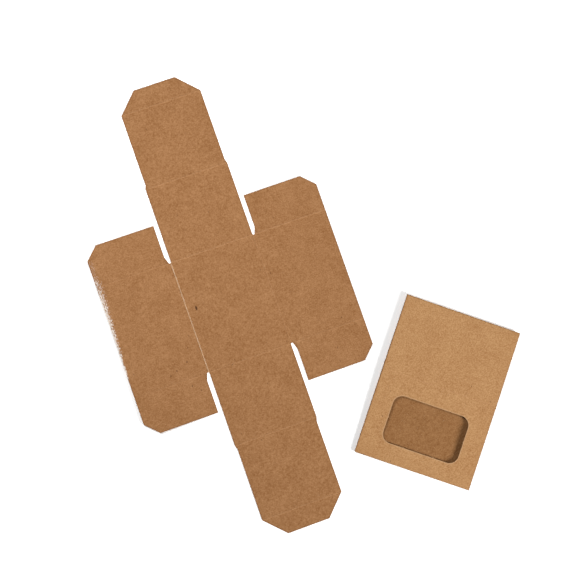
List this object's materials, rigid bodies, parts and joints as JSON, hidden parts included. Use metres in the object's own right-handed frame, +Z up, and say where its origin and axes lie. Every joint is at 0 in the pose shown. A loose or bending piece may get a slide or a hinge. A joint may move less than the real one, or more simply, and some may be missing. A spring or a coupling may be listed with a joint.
{
  "type": "flat-packed gift box",
  "caption": "Kraft card gift box as delivered, flat: a die-cut drawer tray blank with creases, corner flaps and slots, beside a glued, flattened sleeve with a rounded window.",
  "frame": {"origin": "centre of the underside of the tray blank's floor panel, on the table", "axes": "+X across the blank, towards the wing beside the sleeve; +Y along the strip of floor, end walls and tabs; +Z up from the table"},
  "size_m": [0.2535, 0.3215, 0.0041],
  "materials": {
    "kraft_inside": "uncoated matt kraft card, inner face",
    "kraft_outside": "uncoated matt kraft card, smoother outer face"
  },
  "bodies": {
    "root": {"tray_blank": "kraft_inside", "sleeve": "kraft_outside"}
  },
  "joints": []
}
